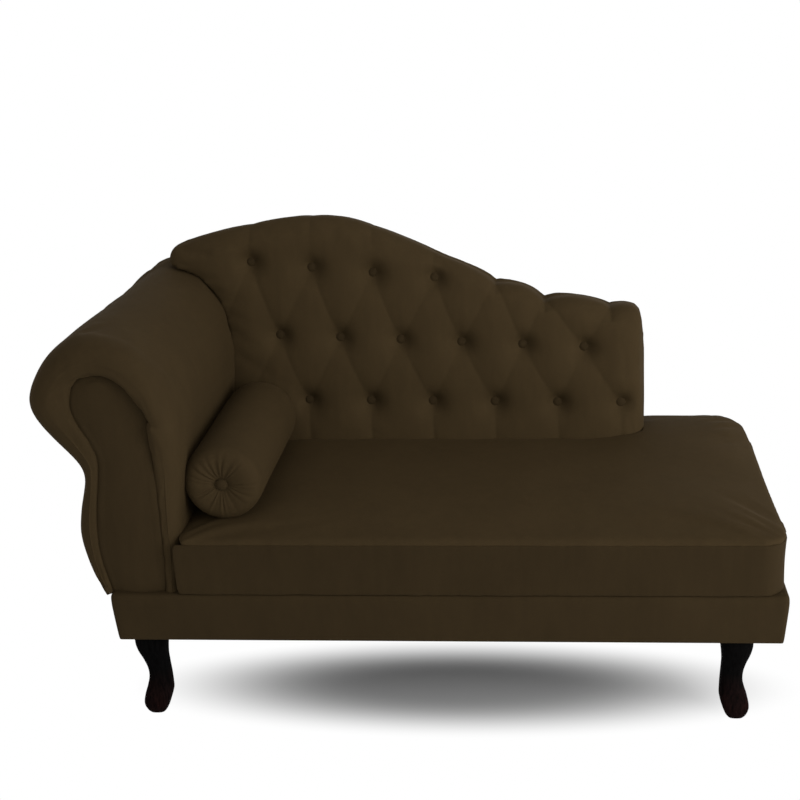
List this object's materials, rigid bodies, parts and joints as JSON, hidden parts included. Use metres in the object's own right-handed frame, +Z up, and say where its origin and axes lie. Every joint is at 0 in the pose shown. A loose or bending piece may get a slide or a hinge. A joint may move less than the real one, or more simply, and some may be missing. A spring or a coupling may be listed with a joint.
{
  "type": "chaise longue",
  "caption": "One-armed chaise longue with a scrolled arm, a curved tufted half back, a loose bolster and short cabriole legs.",
  "frame": {"origin": "on the floor, under the middle of the bounding box", "axes": "+X along the length from the scrolled arm to the open end, +Y from the front to the back, +Z up"},
  "size_m": [1.55, 0.68, 1],
  "materials": {
    "fabric": "matte brushed velvet, dark tobacco brown",
    "leg_wood": "near-black stained wood with a satin lacquer",
    "frame_wood": "raw sawn timber and plywood",
    "foam": "open-cell foam and fibre wadding",
    "lining_cloth": "thin black lining cloth",
    "webbing": "woven elastic webbing"
  },
  "bodies": {
    "frame": {"front_rail": "frame_wood", "back_rail": "frame_wood", "left_rail": "frame_wood", "right_rail": "frame_wood", "cross_member_left": "frame_wood", "cross_member_right": "frame_wood", "corner_block_front_left": "frame_wood", "corner_block_front_right": "frame_wood", "corner_block_rear_left": "frame_wood", "corner_block_rear_right": "frame_wood", "leg_front_left": "leg_wood", "leg_front_right": "leg_wood", "leg_rear_left": "leg_wood", "leg_rear_right": "leg_wood", "front_rail_cover": "fabric", "back_rail_cover": "fabric", "left_rail_cover": "fabric", "right_rail_cover": "fabric", "dust_cover": "lining_cloth", "seat_webbing": "webbing", "seat_foam": "foam", "seat_cover": "fabric", "arm_front_board": "frame_wood", "arm_rear_board": "frame_wood", "arm_batten_roll": "frame_wood", "arm_batten_outer": "frame_wood", "arm_batten_inner": "frame_wood", "arm_foam": "foam", "arm_cover": "fabric", "arm_outside_cover": "fabric", "arm_front_facing": "fabric", "arm_rear_facing": "fabric", "back_foam": "foam", "back_board": "frame_wood", "back_outside_cover": "fabric", "back_post_left": "frame_wood", "back_post_middle": "frame_wood", "back_post_right": "frame_wood", "back_cover": "fabric", "tuft_button_top_1": "fabric", "tuft_button_top_2": "fabric", "tuft_button_top_3": "fabric", "tuft_button_top_4": "fabric", "tuft_button_middle_1": "fabric", "tuft_button_middle_2": "fabric", "tuft_button_middle_3": "fabric", "tuft_button_middle_4": "fabric", "tuft_button_middle_5": "fabric", "tuft_button_middle_6": "fabric", "tuft_button_low_1": "fabric", "tuft_button_low_2": "fabric", "tuft_button_low_3": "fabric", "tuft_button_low_4": "fabric", "tuft_button_low_5": "fabric", "tuft_button_low_6": "fabric"},
    "bolster": {"bolster_cover": "fabric", "bolster_filling": "foam", "bolster_zip": "lining_cloth", "bolster_button_front": "fabric", "bolster_button_rear": "fabric"}
  },
  "joints": [
    {"name": "bolster_lift", "type": "slide", "parent": "frame", "child": "bolster", "axis": [0.2588, 0, 0.9659], "range_m": [0, 0.62]}
  ]
}
